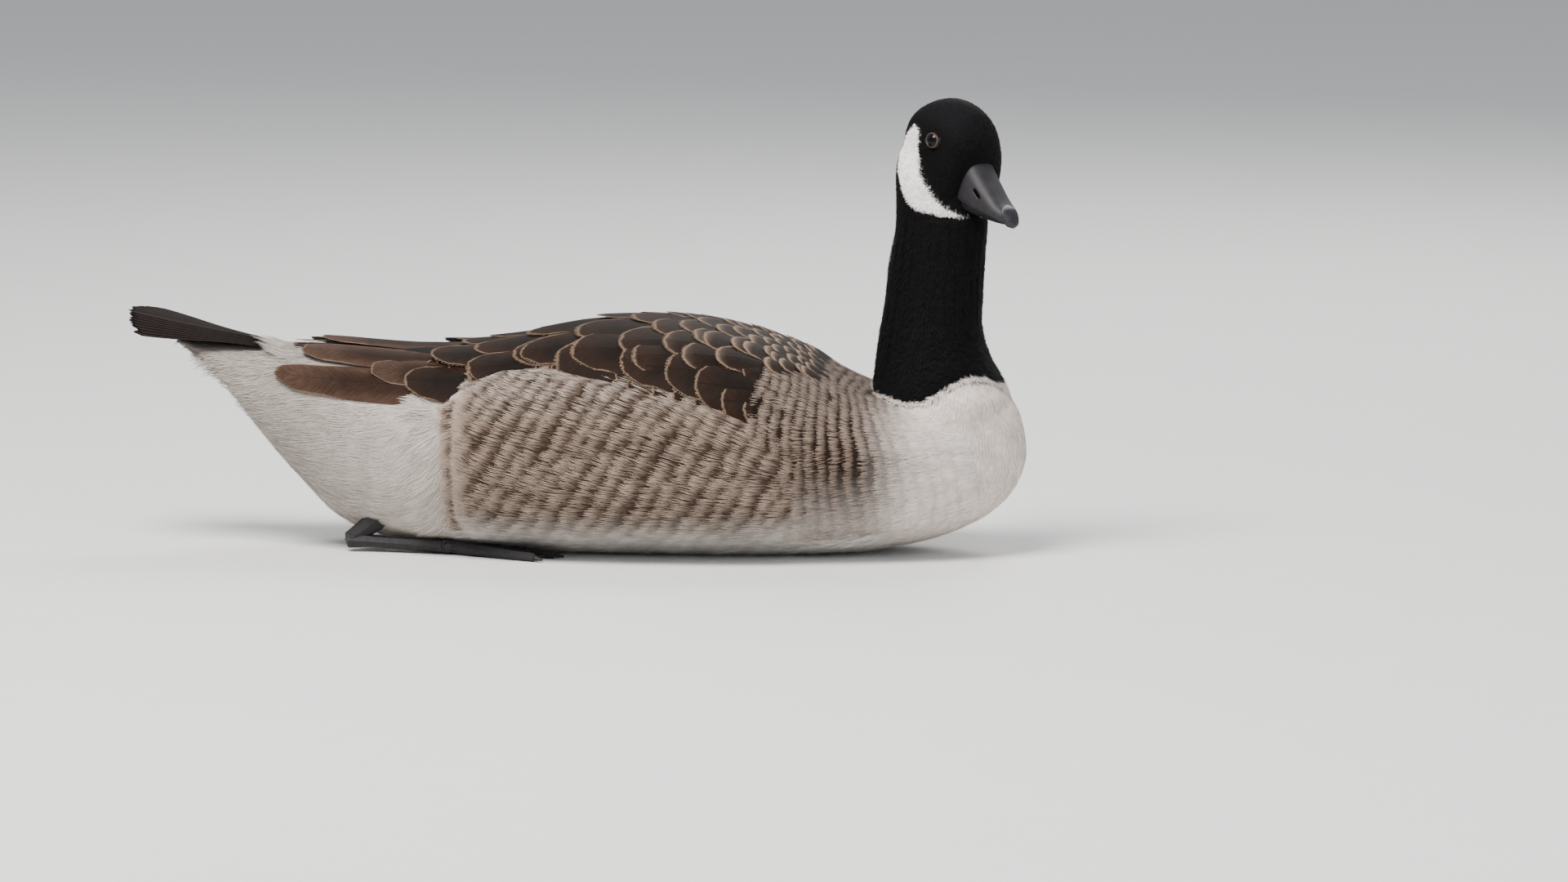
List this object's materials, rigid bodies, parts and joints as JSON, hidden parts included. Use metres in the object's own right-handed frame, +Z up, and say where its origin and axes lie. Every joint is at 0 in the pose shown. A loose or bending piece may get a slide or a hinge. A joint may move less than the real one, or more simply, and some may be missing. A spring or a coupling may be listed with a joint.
{
  "type": "canada goose",
  "caption": "Life-size Canada goose resting on its belly, neck upright and head turned to its right, with wings folded and feet tucked under.",
  "frame": {"origin": "on the ground, at the bottom centre of the box round the whole bird", "axes": "+X from the tail to the breast, +Y to the bird's left, +Z up"},
  "size_m": [0.6624, 0.2364, 0.3345],
  "materials": {
    "side_feathers": "soft barred grey-brown feathers, matt",
    "breast_feathers": "fine whitish feathers, matt",
    "white_feathers": "soft white feathers, matt",
    "black_feathers": "short black feathers, slightly silky",
    "back_feathers": "brown feathers with pale edges, slightly silky",
    "tail_feathers": "stiff blackish feathers, slightly silky",
    "horn": "dark horn, low gloss",
    "eye": "polished dark brown eye",
    "foot_skin": "dark scaly skin, low gloss"
  },
  "bodies": {
    "root": {"torso": "side_feathers", "breast": "breast_feathers", "rump": "white_feathers", "neck_lower": "black_feathers", "neck_upper": "black_feathers", "head": "black_feathers", "bill_upper": "horn", "bill_lower": "horn", "bill_nail": "horn", "eye_left": "eye", "eye_right": "eye", "mantle": "back_feathers", "wing_left": "back_feathers", "wing_right": "back_feathers", "flank_left": "side_feathers", "flank_right": "side_feathers", "tail": "tail_feathers", "leg_left": "foot_skin", "leg_right": "foot_skin", "foot_left": "foot_skin", "foot_right": "foot_skin"}
  },
  "joints": []
}
